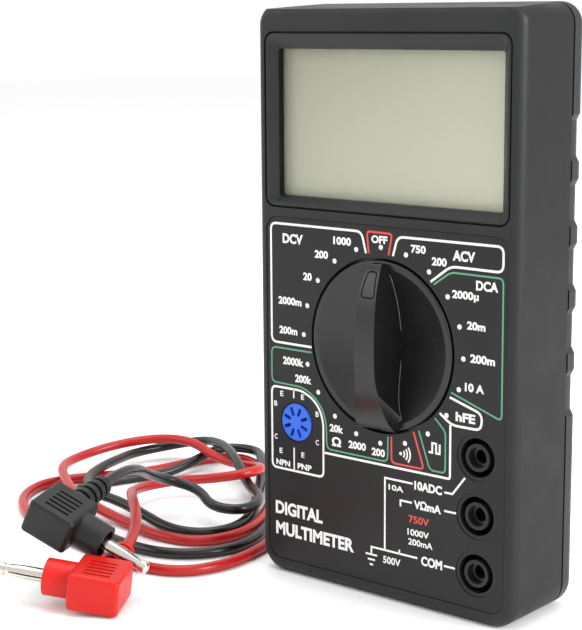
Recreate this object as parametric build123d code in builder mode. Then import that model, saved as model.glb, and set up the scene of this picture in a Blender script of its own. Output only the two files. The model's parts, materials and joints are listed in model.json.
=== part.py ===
"""Hand-held digital multimeter that stands on its lower end, with its pair of test leads.

The row's frame is in millimetres: +X to the right of the front panel, -Y out of the front panel,
+Z up.  The origin is at the middle of the meter's base.
"""
import os
from math import cos, pi, radians, sin, tan

from build123d import *

# ---------------------------------------------------------------- driving dimensions
body_width = 90.4
body_height = 168.7          # at the groove; the top face falls towards the front
front_height = 167.2
body_depth = 32.0            # front face to back face
front_shell_depth = 24.8     # front face to the groove between the shells
groove_width = 0.8
wall = 2.2
front_wall = 2.5
front_round = 3.0
back_round = 4.0
bottom_corner = 7.6
top_corner = 6.0

dial_height = 74.0           # the selector's axis above the base
knob_radius = 24.3
knob_clearance = 0.8
bar_rise = 7.5               # how far the grip bar stands out of the front face

label_width = 84.0
label_bottom = 4.2
label_top = 108.0
label_corner = 4.2
label_recess = 0.5
label_thickness = 0.3

lcd_view_width = 77.2
lcd_view_height = 42.2
lcd_view_centre = 135.0
bezel_width = 83.4
bezel_height = 49.4
bezel_centre = 135.8
bezel_gap = 0.5
bezel_lip = 0.7              # flat edge of the frame outside its slope
bezel_corner = 2.8
bezel_flange = 1.6
bezel_slope = 2.2            # how far the frame's sloping face falls towards the display
bezel_depth = 4.4

jack_x = 32.8
jack_pitch = 16.4
jack_top = 47.2
jack_names = ["10adc", "vohm_ma", "com"]
jack_outer_radius = 6.6
jack_recess_radius = 5.5
jack_tube_radius = 3.9
jack_hole_radius = 2.9
jack_recess_depth = 8.4
socket_radius = 2.8          # brass sockets for 4 mm plugs
socket_bore = 2.05
socket_start = 3.0
socket_length = 14.0

hfe_x = -30.9
hfe_height = 47.3
hfe_radius = 5.8

board_depth = 10.0           # front face to the board's front side
board_thickness = 1.6
detent_count = 20
cable_radius = 1.7

# ---------------------------------------------------------------- worked out from those
front_y = bar_rise - (body_depth + bar_rise) / 2
board_back = board_depth + board_thickness
inner_back = body_depth - wall
label_depth = label_recess - label_thickness
jack_heights = [jack_top - jack_pitch * row for row in range(len(jack_names))]

os.makedirs("parts", exist_ok=True)


def depth_plane(depth):
    """Plane parallel to the front panel: local x is X, local y is Z, facing the user."""
    return Plane(origin=(0, front_y + depth, 0), x_dir=(1, 0, 0), z_dir=(0, -1, 0))


def save(part, name):
    """Label a finished piece and write it as one STEP file."""
    part.label = name
    export_step(part, f"parts/{name}.step")


def case_outline(inset=0.0, height=body_height):
    """Front outline of the case, shrunk by inset, with larger corners at the bottom."""
    with BuildSketch(Plane.XY) as outline:
        with Locations((0, height / 2)):
            Rectangle(body_width - 2 * inset, height - 2 * inset)
        rows = outline.vertices().group_by(Axis.Y)
        fillet(rows[0], radius=bottom_corner - inset)
        fillet(outline.vertices().group_by(Axis.Y)[-1], radius=top_corner - inset)
    return outline.sketch


def case_slab(depth, thickness, inset=0.0, height=body_height, mode=Mode.ADD):
    """Slab of the case outline from a depth towards the back."""
    with BuildSketch(depth_plane(depth)) as face:
        add(case_outline(inset, height))
    extrude(face.sketch, amount=-thickness, mode=mode)


def pillar(x, z, radius, start, end, mode=Mode.ADD):
    """Round pillar or hole along Y at (x, z), from one depth to a deeper one."""
    with BuildSketch(depth_plane(start)) as face:
        with Locations((x, z)):
            Circle(radius)
    extrude(face.sketch, amount=start - end, mode=mode)


def slab(width, height, centre, start, end, corner=0.0, mode=Mode.ADD):
    """Rectangular slab facing the user, with rounded corners if asked."""
    with BuildSketch(depth_plane(start)) as face:
        with Locations(centre):
            if corner > 0:
                RectangleRounded(width, height, corner)
            else:
                Rectangle(width, height)
    extrude(face.sketch, amount=start - end, mode=mode)


# ---------------------------------------------------------------- screws' places
board_screws = [(-38.4, 101.6), (38.4, 101.6), (-38.4, 62.0), (38.4, 60.5), (19.5, 5.6)]
case_screws = [(-37.6, 8.2), (37.6, 8.2), (-38.4, 161.5), (38.4, 161.5)]
board_boss_radius = 2.8
case_boss_radius = 2.6
case_boss_end = 17.0
rear_boss_start = 17.2
rear_boss_radius = 3.4
screw_seat = 21.0
screw_recess_radius = 2.6

# ---------------------------------------------------------------- selector's places
flange_radius = 27.6
flange_start = 3.0
flange_end = 4.6
hub_radius = 26.0
hub_end = 8.6
ball_radius = 1.5
ball_depth = 6.6
ring_crest_radius = 29.0
ring_outer_radius = 31.6
ring_end = 8.4
notch_radius = 2.0
notch_centre_radius = 27.8
ball_travel_gap = 0.05
ball_centre_radius = ring_crest_radius - ball_travel_gap - ball_radius
spring_start_radius = 18.5
pivot_radius = 3.0
pivot_end = 13.0

# ---------------------------------------------------------------- battery's place
battery_length = 48.5
battery_width = 26.5
battery_thickness = 17.5
battery_start = 9.8
battery_x = -12.0
battery_height = 25.2
tray_rib = 1.5

# ================================================================ front case
with BuildPart() as front_case:
    case_slab(0, front_shell_depth)
    fillet(front_case.faces().sort_by(Axis.Y)[0].edges(), radius=front_round)
    # the top face falls towards the front
    with BuildSketch(Plane.YZ):
        with BuildLine():
            Polyline((front_y - 1, front_height), (front_y, front_height),
                     (front_y + front_shell_depth, body_height),
                     (front_y + front_shell_depth, body_height + 5),
                     (front_y - 1, body_height + 5), close=True)
        make_face()
    extrude(amount=body_width, both=True, mode=Mode.SUBTRACT)
    case_slab(front_wall, front_shell_depth - front_wall, wall, front_height, Mode.SUBTRACT)
    # rebate that takes the rear case's tongue
    case_slab(front_shell_depth - 2.4, 2.4, 1.0, mode=Mode.SUBTRACT)
    # shallow recess for the printed label
    label_height = label_top - label_bottom
    label_centre = (0, (label_top + label_bottom) / 2)
    slab(label_width, label_height, label_centre, 0, label_recess, label_corner, Mode.SUBTRACT)
    # stepped opening for the display's bezel
    slab(bezel_width + 2 * bezel_gap, bezel_height + 2 * bezel_gap, (0, bezel_centre), 0,
         bezel_flange, bezel_corner + bezel_gap, Mode.SUBTRACT)
    slab(lcd_view_width + 2.4, lcd_view_height + 2.4, (0, lcd_view_centre), bezel_flange,
         front_wall, 1.5, Mode.SUBTRACT)
    # opening for the selector
    pillar(0, dial_height, knob_radius + knob_clearance, 0, front_wall, Mode.SUBTRACT)
    # ring with the detent notches, behind the panel
    with BuildSketch(depth_plane(front_wall)):
        with Locations((0, dial_height)):
            Circle(ring_outer_radius)
            Circle(ring_crest_radius, mode=Mode.SUBTRACT)
            with PolarLocations(notch_centre_radius, detent_count):
                Circle(notch_radius, mode=Mode.SUBTRACT)
    extrude(amount=front_wall - ring_end)
    # moulded sleeves round the input sockets
    for height in jack_heights:
        pillar(jack_x, height, jack_outer_radius, front_wall, jack_recess_depth + 1.0)
    # bosses for the board and for the case screws
    for x, z in board_screws:
        pillar(x, z, board_boss_radius, front_wall, board_depth)
    for x, z in case_screws:
        pillar(x, z, case_boss_radius, front_wall, case_boss_end)
    # ribs of the battery tray
    for rib_x in (battery_x - 18, battery_x + 18):
        slab(tray_rib, battery_width, (rib_x, battery_height), front_wall, battery_start - 0.1)
    for height in jack_heights:
        with BuildSketch(depth_plane(0)):
            with Locations((jack_x, height)):
                Circle(jack_recess_radius)
                Circle(jack_tube_radius, mode=Mode.SUBTRACT)
        extrude(amount=-jack_recess_depth, mode=Mode.SUBTRACT)
        pillar(jack_x, height, jack_hole_radius, 0, jack_recess_depth + 1.0, Mode.SUBTRACT)
    # opening for the transistor socket
    pillar(hfe_x, hfe_height, hfe_radius, 0, front_wall, Mode.SUBTRACT)
    # pilot holes for the screws
    for x, z in board_screws:
        pillar(x, z, 0.9, board_depth - 6.0, board_depth, Mode.SUBTRACT)
    for x, z in case_screws:
        pillar(x, z, 1.28, case_boss_end - 9.5, case_boss_end, Mode.SUBTRACT)
save(front_case.part, "front_case")

# ================================================================ rear case
scallop_pitch = 17.6
scallop_lowest = 62.0
scallop_count = 5
scallop_length = 13.0
scallop_ramp = 1.8
scallop_depth = 1.0

with BuildPart() as rear_case:
    rear_start = front_shell_depth + groove_width
    case_slab(rear_start, body_depth - rear_start)
    # shallow finger scallops along both long sides
    for side in (-1, 1):
        edge_x = side * body_width / 2
        floor_x = edge_x - side * scallop_depth
        for step in range(scallop_count):
            middle = scallop_lowest + scallop_pitch * step
            long_half = scallop_length / 2
            short_half = long_half - scallop_ramp
            with BuildSketch(depth_plane(rear_start - 1)):
                with BuildLine():
                    Polyline((edge_x + side, middle - long_half - scallop_ramp),
                             (floor_x, middle - short_half),
                             (floor_x, middle + short_half),
                             (edge_x + side, middle + long_half + scallop_ramp),
                             close=True)
                make_face()
            extrude(amount=-body_depth, mode=Mode.SUBTRACT)
    back_edges = rear_case.faces().sort_by(Axis.Y)[-1].edges()
    fillet(back_edges, radius=back_round)
    case_slab(rear_start, inner_back - rear_start, wall + 1.0, mode=Mode.SUBTRACT)
    # tongue that enters the front case
    tongue_start = front_shell_depth - 2.2
    with BuildSketch(depth_plane(tongue_start)):
        add(case_outline(1.1))
        add(case_outline(wall + 1.0), mode=Mode.SUBTRACT)
    extrude(amount=-(rear_start - tongue_start))
    for x, z in case_screws:
        pillar(x, z, rear_boss_radius, rear_boss_start, inner_back)
    for x, z in case_screws:
        pillar(x, z, 1.6, rear_boss_start, screw_seat, Mode.SUBTRACT)
        pillar(x, z, screw_recess_radius, screw_seat, body_depth, Mode.SUBTRACT)
save(rear_case.part, "rear_case")

# ================================================================ label and display
with BuildPart() as label_overlay:
    slab(label_width - 0.4, label_height - 0.4, label_centre, label_depth, label_recess,
         label_corner - 0.2)
    pillar(0, dial_height, knob_radius + knob_clearance, label_depth, label_recess, Mode.SUBTRACT)
    pillar(hfe_x, hfe_height, hfe_radius + 0.3, label_depth, label_recess, Mode.SUBTRACT)
    for height in jack_heights:
        pillar(jack_x, height, jack_outer_radius, label_depth, label_recess, Mode.SUBTRACT)
save(label_overlay.part, "label_overlay")

with BuildPart() as lcd_bezel:
    slab(bezel_width, bezel_height, (0, bezel_centre), 0, bezel_flange, bezel_corner)
    fillet(lcd_bezel.faces().sort_by(Axis.Y)[0].edges(), radius=0.4)
    slab(lcd_view_width + 2.0, lcd_view_height + 2.0, (0, lcd_view_centre), bezel_flange,
         bezel_depth, 1.3)
    # the frame's face slopes inwards on all four sides, down to a straight-walled opening
    with BuildSketch(depth_plane(0)):
        with Locations((0, bezel_centre)):
            RectangleRounded(bezel_width - 2 * bezel_lip, bezel_height - 2 * bezel_lip,
                             bezel_corner - bezel_lip)
    with BuildSketch(depth_plane(bezel_slope)):
        with Locations((0, lcd_view_centre)):
            RectangleRounded(lcd_view_width, lcd_view_height, 0.8)
    loft(ruled=True, mode=Mode.SUBTRACT)
    slab(lcd_view_width, lcd_view_height, (0, lcd_view_centre), bezel_slope, bezel_depth, 0.8,
         Mode.SUBTRACT)
save(lcd_bezel.part, "lcd_bezel")

window_thickness = 1.0
window_end = bezel_depth + window_thickness
glass_start = window_end + 0.2
glass_thickness = 1.9
glass_end = glass_start + glass_thickness
glass_centre = 133.0
glass_height = 50.0
zebra_height = 110.2
holder_centre = 132.8
holder_height = 52.0

with BuildPart() as lcd_window:
    slab(80.2, 46.0, (0, lcd_view_centre), bezel_depth, window_end, 1.0)
save(lcd_window.part, "lcd_window")

with BuildPart() as lcd_glass:
    slab(80.0, glass_height, (0, glass_centre), glass_start, glass_end)
    # the rear sheet is shorter, so the front sheet carries the contact ledge
    slab(80.0, 4.4, (0, glass_centre - glass_height / 2 + 2.2), glass_start + 1.1, glass_end,
         mode=Mode.SUBTRACT)
save(lcd_glass.part, "lcd_glass")

with BuildPart() as lcd_reflector:
    slab(79.0, 45.2, (0, glass_centre + 2.3), glass_end, glass_end + 0.2)
save(lcd_reflector.part, "lcd_reflector")

with BuildPart() as lcd_holder:
    slab(84.4, holder_height, (0, holder_centre), front_wall + 0.2, board_depth, 1.0)
    slab(80.6, 50.6, (0, glass_centre), front_wall + 0.2, glass_end + 0.2, mode=Mode.SUBTRACT)
    # hollow behind the web that backs the display
    slab(80.6, 38.0, (0, glass_centre + 5), glass_end + 1.2, board_depth, mode=Mode.SUBTRACT)
    slab(72.0, 3.0, (0, zebra_height), glass_end, board_depth, mode=Mode.SUBTRACT)
save(lcd_holder.part, "lcd_holder")

with BuildPart() as zebra_strip:
    slab(70.0, 2.2, (0, zebra_height), glass_start + 1.1, board_depth)
save(zebra_strip.part, "zebra_strip")

# ================================================================ selector
rim_proud = 0.1              # the rim stands this far out of the front face
scoop_radius = 22.4
scoop_depth = 4.2
dish_radius = (scoop_radius ** 2 + scoop_depth ** 2) / (2 * scoop_depth)
arch_half = knob_radius - 0.2
bar_tip_half = 2.8
bar_waist_half = 4.6
bar_foot_half = 9.0
bar_taper = 5


def bar_outline():
    """Plan of the grip bar: narrow at the pointer's end, flared like a fish tail at the other."""
    with BuildSketch(Plane.XY) as outline:
        with BuildLine():
            Spline((-bar_tip_half, arch_half), (-bar_waist_half * 0.92, arch_half * 0.45),
                   (-bar_waist_half, -arch_half * 0.1), (-bar_waist_half * 1.08, -arch_half * 0.6),
                   (-bar_foot_half, -arch_half))
            Spline((bar_tip_half, arch_half), (bar_waist_half * 0.92, arch_half * 0.45),
                   (bar_waist_half, -arch_half * 0.1), (bar_waist_half * 1.08, -arch_half * 0.6),
                   (bar_foot_half, -arch_half))
            Line((-bar_tip_half, arch_half), (bar_tip_half, arch_half))
            Line((-bar_foot_half, -arch_half), (bar_foot_half, -arch_half))
        make_face()
    return outline.sketch


with BuildPart() as grip_bar:
    with BuildSketch(depth_plane(scoop_depth + 0.6)) as bar_foot:
        with Locations((0, dial_height)):
            add(bar_outline())
    extrude(bar_foot.sketch, amount=scoop_depth + 0.6 + bar_rise + 1, taper=bar_taper)
    # the arch of the bar's crest, from rim to rim
    with BuildSketch(Plane.YZ) as arch:
        with Locations((front_y - rim_proud, dial_height)):
            Ellipse(bar_rise - rim_proud, arch_half)
        with Locations((front_y + 5, dial_height)):
            Rectangle(10, 2 * arch_half)
    extrude(arch.sketch, amount=20, both=True, mode=Mode.INTERSECT)

# the dish that is scooped out of the knob on both sides of the bar
with BuildPart() as finger_scoops:
    with Locations((0, front_y - rim_proud + scoop_depth - dish_radius, dial_height)):
        Sphere(dish_radius)
    with BuildSketch(depth_plane(-5)) as scoop_plan:
        with Locations((0, dial_height)):
            Circle(scoop_radius)
    extrude(scoop_plan.sketch, amount=-15, mode=Mode.INTERSECT)

with BuildPart() as selector_knob:
    pillar(0, dial_height, knob_radius, -rim_proud, flange_start)
    fillet(selector_knob.faces().sort_by(Axis.Y)[0].edges(), radius=0.6)
    pillar(0, dial_height, flange_radius, flange_start, flange_end)
    pillar(0, dial_height, hub_radius, flange_end, hub_end)
    add(finger_scoops.part, mode=Mode.SUBTRACT)
    add(grip_bar.part)
    # round off whatever the bar leaves outside the rim
    with BuildSketch(depth_plane(-bar_rise - 1)) as rim_plan:
        with Locations((0, dial_height)):
            Circle(flange_radius)
    extrude(rim_plan.sketch, amount=-40, mode=Mode.INTERSECT)
    pillar(0, dial_height, pivot_radius, hub_end, pivot_end)
    # radial pockets for the detent balls and their springs
    for turn in (0, 180):
        pocket_plane = Plane(origin=(0, front_y + ball_depth, dial_height),
                             x_dir=(0, 1, 0), z_dir=(cos(radians(turn)), 0, sin(radians(turn))))
        with BuildSketch(pocket_plane.offset(spring_start_radius)) as pocket:
            Circle(ball_radius + 0.1)
        extrude(pocket.sketch, amount=flange_radius, mode=Mode.SUBTRACT)
save(selector_knob.part, "selector_knob")

with BuildPart() as detent_balls:
    for side in (-1, 1):
        with Locations((side * ball_centre_radius, front_y + ball_depth, dial_height)):
            Sphere(ball_radius)
save(detent_balls.part, "detent_balls")

spring_wire = 0.45
spring_turns = 7
spring_radius = ball_radius - 0.2 - spring_wire / 2
spring_length = ball_centre_radius - ball_radius - spring_start_radius - spring_wire

with BuildPart() as detent_springs:
    for side in (-1, 1):
        spring_foot = (side * (spring_start_radius + spring_wire / 2), front_y + ball_depth,
                       dial_height)
        with BuildLine() as coil:
            Helix(spring_length / spring_turns, spring_length, spring_radius,
                  center=spring_foot, direction=(side, 0, 0))
        with BuildSketch(Plane(origin=coil.line @ 0, z_dir=coil.line % 0)) as wire_section:
            Circle(spring_wire / 2)
        sweep(wire_section.sketch, path=coil.line)
save(detent_springs.part, "detent_springs")

contact_gap = 0.05           # the wipers are drawn just clear of the board
contact_drop = board_depth - contact_gap - hub_end
contact_sheet = 0.3
contact_foot = 3.2
contact_half = 4.0
contact_nose = 0.6

with BuildPart() as wiper_contacts:
    for ring_radius in (10.0, 16.0, 22.0):
        for angle in (40, 220):
            out_x = cos(radians(angle))
            out_z = sin(radians(angle))
            contact_plane = Plane(origin=(ring_radius * out_x, front_y + hub_end,
                                          dial_height + ring_radius * out_z),
                                  x_dir=(-out_z, 0, out_x), z_dir=(out_x, 0, out_z))
            with BuildSketch(contact_plane) as contact:
                with BuildLine():
                    Polyline((-contact_half, 0), (-contact_foot, 0),
                             (-contact_nose, contact_sheet - contact_drop),
                             (contact_nose, contact_sheet - contact_drop),
                             (contact_foot, 0), (contact_half, 0),
                             (contact_half, -contact_sheet), (contact_foot, -contact_sheet),
                             (contact_nose, -contact_drop), (-contact_nose, -contact_drop),
                             (-contact_foot, -contact_sheet), (-contact_half, -contact_sheet),
                             close=True)
                make_face()
            extrude(contact.sketch, amount=0.8, both=True)
save(wiper_contacts.part, "wiper_contacts")

# ================================================================ circuit board
board_half = 42.3
board_bottom = 3.5
board_top = 158.6
notch_x = 16.5               # the board stops here beside the battery
notch_z = 39.5

with BuildPart() as circuit_board:
    with BuildSketch(depth_plane(board_depth)):
        with BuildLine():
            Polyline((notch_x, board_bottom), (board_half - 3.7, board_bottom),
                     (board_half, board_bottom + 4.7), (board_half, board_top),
                     (-board_half, board_top), (-board_half, notch_z), (notch_x, notch_z),
                     close=True)
        make_face()
        with Locations((0, dial_height)):
            Circle(pivot_radius + 0.08, mode=Mode.SUBTRACT)
        for height in jack_heights:
            with Locations((jack_x, height)):
                Circle(socket_radius + 0.05, mode=Mode.SUBTRACT)
        with Locations(*board_screws):
            Circle(1.0, mode=Mode.SUBTRACT)
        with Locations(*case_screws):
            Circle(case_boss_radius + 0.6, mode=Mode.SUBTRACT)
    extrude(amount=-board_thickness)
save(circuit_board.part, "circuit_board")

# ================================================================ sockets
slot_count = 8
slot_ring = 3.4
slot_first = 22.5
slot_depth = 4.0
socket_proud = 0.3


def radial_slots(width, length, start, end, mode):
    """Ring of radial slots or strips in the transistor socket."""
    with BuildSketch(depth_plane(start)) as face:
        with Locations((hfe_x, hfe_height)):
            with PolarLocations(slot_ring, slot_count, start_angle=slot_first):
                Rectangle(length, width)
    extrude(face.sketch, amount=start - end, mode=mode)


with BuildPart() as transistor_socket:
    pillar(hfe_x, hfe_height, hfe_radius - 0.2, -socket_proud, board_depth)
    chamfer(transistor_socket.faces().sort_by(Axis.Y)[0].edges(), length=0.4)
    radial_slots(1.0, 2.6, -socket_proud, slot_depth, Mode.SUBTRACT)
    radial_slots(0.4, 1.8, slot_depth, board_depth, Mode.SUBTRACT)
save(transistor_socket.part, "transistor_socket")

with BuildPart() as socket_contacts:
    radial_slots(0.4, 1.8, 1.5, board_depth, Mode.ADD)
save(socket_contacts.part, "socket_contacts")

for name, height in zip(jack_names, jack_heights):
    with BuildPart() as input_jack:
        pillar(jack_x, height, socket_radius, socket_start, socket_start + socket_length)
        pillar(jack_x, height, 3.8, jack_recess_depth + 1.0, board_depth)
        pillar(jack_x, height, socket_bore, 0, board_depth + socket_length, Mode.SUBTRACT)
    save(input_jack.part, f"input_jack_{name}")

# ================================================================ fuse and shunt
fuse_x = 24.0
fuse_height = 64.0
fuse_depth = board_back + 4.3
fuse_length = 20.0
fuse_radius = 2.6
fuse_wall = 0.4
cap_length = 5.0


def rod_x(start_x, end_x, depth, height, radius, mode=Mode.ADD):
    """Round rod along X between two places, at a depth and a height."""
    with BuildSketch(Plane(origin=(start_x, front_y + depth, height), z_dir=(1, 0, 0))) as face:
        Circle(radius)
    extrude(face.sketch, amount=end_x - start_x, mode=mode)


with BuildPart() as fuse_glass:
    half = fuse_length / 2 - fuse_wall
    rod_x(fuse_x - half, fuse_x + half, fuse_depth, fuse_height, fuse_radius - fuse_wall)
    rod_x(fuse_x - half, fuse_x + half, fuse_depth, fuse_height, 1.7, Mode.SUBTRACT)
save(fuse_glass.part, "fuse_glass")

with BuildPart() as fuse_wire:
    rod_x(fuse_x - half, fuse_x + half, fuse_depth, fuse_height, 0.15)
save(fuse_wire.part, "fuse_wire")

with BuildPart() as fuse_caps:
    for side in (-1, 1):
        outer_end = fuse_x + side * fuse_length / 2
        inner_end = outer_end - side * cap_length
        left = min(outer_end, inner_end)
        rod_x(left, left + cap_length, fuse_depth, fuse_height, fuse_radius)
    rod_x(fuse_x - half, fuse_x + half, fuse_depth, fuse_height, fuse_radius - fuse_wall,
          Mode.SUBTRACT)
save(fuse_caps.part, "fuse_caps")

clip_gap = 0.02
clip_sheet = 0.4

with BuildPart() as fuse_clips:
    for side in (-1, 1):
        clip_x = fuse_x + side * (fuse_length - cap_length) / 2
        slab(cap_length - 1.0, 2 * (fuse_radius + clip_gap + clip_sheet), (clip_x, fuse_height),
             board_back, board_back + clip_sheet)
        for edge in (-1, 1):
            wall_height = fuse_height + edge * (fuse_radius + clip_gap + clip_sheet / 2)
            slab(cap_length - 1.0, clip_sheet, (clip_x, wall_height), board_back,
                 fuse_depth + 1.8)
save(fuse_clips.part, "fuse_clips")


def bent_rod(points, radius, bends):
    """Round rod along straight runs with rounded corners; points are (x, depth, height)."""
    path_points = [Vector(x, front_y + depth, height) for x, depth, height in points]
    with BuildPart() as rod:
        with BuildLine() as path:
            FilletPolyline(*path_points, radius=bends)
        with BuildSketch(Plane(origin=path_points[0],
                               z_dir=path_points[1] - path_points[0])) as section:
            Circle(radius)
        sweep(section.sketch, path=path.line)
    return rod.part


shunt_x = 25.5
shunt_depth = 16.0
shunt_wire = bent_rod([(shunt_x, board_back, jack_heights[0] - 1),
                       (shunt_x, shunt_depth, jack_heights[0] - 1),
                       (shunt_x, shunt_depth, jack_heights[2] + 1),
                       (shunt_x, board_back, jack_heights[2] + 1)], 0.8, 3.0)
save(shunt_wire, "shunt_wire")

# ================================================================ parts on the board
with BuildPart() as buzzer:
    pillar(-25.0, 62.0, 6.5, board_back, board_back + 7.0)
    fillet(buzzer.faces().sort_by(Axis.Y)[-1].edges(), radius=0.6)
    pillar(-25.0, 62.0, 0.8, board_back + 5.0, board_back + 7.0, Mode.SUBTRACT)
save(buzzer.part, "buzzer")

with BuildPart() as chip_blob:
    pillar(0, 130.0, 9.0, board_back, board_back + 1.8)
    fillet(chip_blob.faces().sort_by(Axis.Y)[-1].edges(), radius=1.6)
save(chip_blob.part, "chip_blob")

film_places = [(-16.0, 143.0), (-2.0, 147.0), (14.0, 143.5), (22.0, 118.0), (-24.0, 116.0)]

with BuildPart() as film_capacitors:
    for place in film_places:
        slab(10.0, 4.2, place, board_back, board_back + 8.5, 1.2)
save(film_capacitors.part, "film_capacitors")

with BuildPart() as electrolytic_capacitors:
    for x, z in [(-33.0, 84.0), (30.5, 140.0)]:
        pillar(x, z, 3.1, board_back, board_back + 11.0)
    tops = electrolytic_capacitors.faces().group_by(Axis.Y)[-1]
    fillet(tops.edges(), radius=0.5)
save(electrolytic_capacitors.part, "electrolytic_capacitors")


def axial_part(x, z, body_length, body_radius, lead_span):
    """Part with a lead at each end, lying across the board on its bent leads."""
    lead_radius = 0.3
    axis_depth = board_back + body_radius + 0.2
    rod_x(x - body_length / 2, x + body_length / 2, axis_depth, z, body_radius)
    rod_x(x - lead_span / 2, x + lead_span / 2, axis_depth, z, lead_radius)
    for side in (-1, 1):
        pillar(x + side * (lead_span / 2 - 0.8), z, 0.24, board_back, axis_depth)


resistor_rows = 3
resistor_columns = 4
resistor_pitch = 3.8

with BuildPart() as resistors:
    for row in range(resistor_rows):
        for column in range(resistor_columns):
            axial_part(-14.0 + 12.0 * row - 6.0, 84.0 + resistor_pitch * column + 1.4 * (row % 2),
                       6.4, 1.15, 10.4)
save(resistors.part, "resistors")

with BuildPart() as diodes:
    for z in (52.0, 56.0):
        for x in (-4.0, 9.0):
            axial_part(x, z, 5.0, 1.3, 11.0)
save(diodes.part, "diodes")

with BuildPart() as trimmer:
    slab(7.0, 7.0, (4.0, 112.5), board_back, board_back + 5.0)
    pillar(4.0, 112.5, 2.2, board_back + 5.0, board_back + 6.0)
    slab(3.4, 0.7, (4.0, 112.5), board_back + 5.5, board_back + 6.0, mode=Mode.SUBTRACT)
save(trimmer.part, "trimmer")

with BuildPart() as transistors:
    for x, z in [(-9.0, 66.0), (-9.0, 73.5), (12.0, 73.5)]:
        with BuildSketch(depth_plane(board_back + 1.5)) as dee:
            with Locations((x, z)):
                Circle(2.3)
            with Locations((x, z - 2.3)):
                Rectangle(4.6, 2.0, mode=Mode.SUBTRACT)
        extrude(dee.sketch, amount=-4.6)
        for leg in (-1, 0, 1):
            pillar(x + 1.27 * leg, z, 0.25, board_back, board_back + 1.5)
save(transistors.part, "transistors")

# ================================================================ battery
battery_end = battery_x + battery_length / 2
battery_depth = battery_start + battery_thickness / 2
terminal_height = 2.0
terminal_pitch = 12.7
snap_thickness = 1.75

with BuildPart() as battery:
    with BuildSketch(Plane(origin=(battery_end - battery_length, front_y + battery_depth,
                                   battery_height), x_dir=(0, 1, 0), z_dir=(1, 0, 0))):
        RectangleRounded(battery_thickness, battery_width, 2.6)
    extrude(amount=battery_length)
save(battery.part, "battery")

with BuildPart() as battery_terminals:
    for side, radius in ((-1, 3.8), (1, 2.9)):
        rod_x(battery_end, battery_end + terminal_height, battery_depth,
              battery_height + side * terminal_pitch / 2, radius)
save(battery_terminals.part, "battery_terminals")

snap_start = battery_end + terminal_height
snap_end = snap_start + snap_thickness

with BuildPart() as battery_snap:
    with BuildSketch(Plane(origin=(snap_start, front_y + battery_depth, battery_height),
                           x_dir=(0, 1, 0), z_dir=(1, 0, 0))):
        RectangleRounded(12.0, 25.5, 4.0)
    extrude(amount=snap_thickness)
save(battery_snap.part, "battery_snap")

battery_wire_radius = 0.65
for colour, side in (("red", 1), ("black", -1)):
    leave_height = battery_height + side * 6.0
    land_x = 22.0 - 1.5 * side
    wire = bent_rod([(snap_end, battery_depth, leave_height),
                     (snap_end + 5.0, battery_depth, leave_height),
                     (land_x, battery_depth - 1.0, leave_height + 11.0),
                     (land_x, board_back, leave_height + 11.0)], battery_wire_radius, 1.8)
    save(wire, f"battery_wire_{colour}")

with BuildPart() as foam_pad:
    slab(30.0, 18.0, (battery_x, battery_height), battery_start + battery_thickness, inner_back)
save(foam_pad.part, "foam_pad")

# ================================================================ screws


def screw(x, z, head_start, head_height, head_radius, shank_radius, shank_start):
    """Cross-head screw driven from the back; the depths grow towards the back."""
    pillar(x, z, head_radius, head_start, head_start + head_height)
    pillar(x, z, shank_radius, shank_start, head_start)
    slot_start = head_start + head_height * 0.4
    for width, height in ((1.3 * head_radius, 0.3 * head_radius),
                          (0.3 * head_radius, 1.3 * head_radius)):
        slab(width, height, (x, z), slot_start, head_start + head_height, mode=Mode.SUBTRACT)


with BuildPart() as board_screw_set:
    for x, z in board_screws:
        screw(x, z, board_back, 1.4, 2.0, 0.88, board_depth - 5.8)
save(board_screw_set.part, "board_screws")

with BuildPart() as case_screw_set:
    for x, z in case_screws:
        screw(x, z, screw_seat, 2.0, 2.4, 1.25, case_boss_end - 9.0)
save(case_screw_set.part, "case_screws")

# ================================================================ test leads
# A plug's own frame: the pin points along +X and the cable leaves along +Y.
plug_width = 15.0
plug_length = 17.0
plug_thickness = 11.0
shroud_length = jack_recess_depth - 0.2
shroud_radius = jack_recess_radius - 0.15
shroud_bore = jack_tube_radius + 0.2
relief_length = 17.5
relief_rings = 5
relief_ring_width = 2.2
pin_base_radius = 1.9
pin_core_radius = 1.2
pin_root = 2.0               # where the pin starts inside the plug
pin_reach = plug_width / 2 + 23.0
lantern_start = plug_width / 2 + 2.5
lantern_end = pin_reach - 2.5
lantern_radius = 2.03
lantern_sheet = 0.35
relief_end = plug_length / 2 + relief_length


def disc_x(start, end, radius, mode=Mode.ADD):
    """Disc or rod along X, centred on the X axis."""
    with BuildSketch(Plane(origin=(start, 0, 0), z_dir=(1, 0, 0))) as face:
        Circle(radius)
    extrude(face.sketch, amount=end - start, mode=mode)


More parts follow.
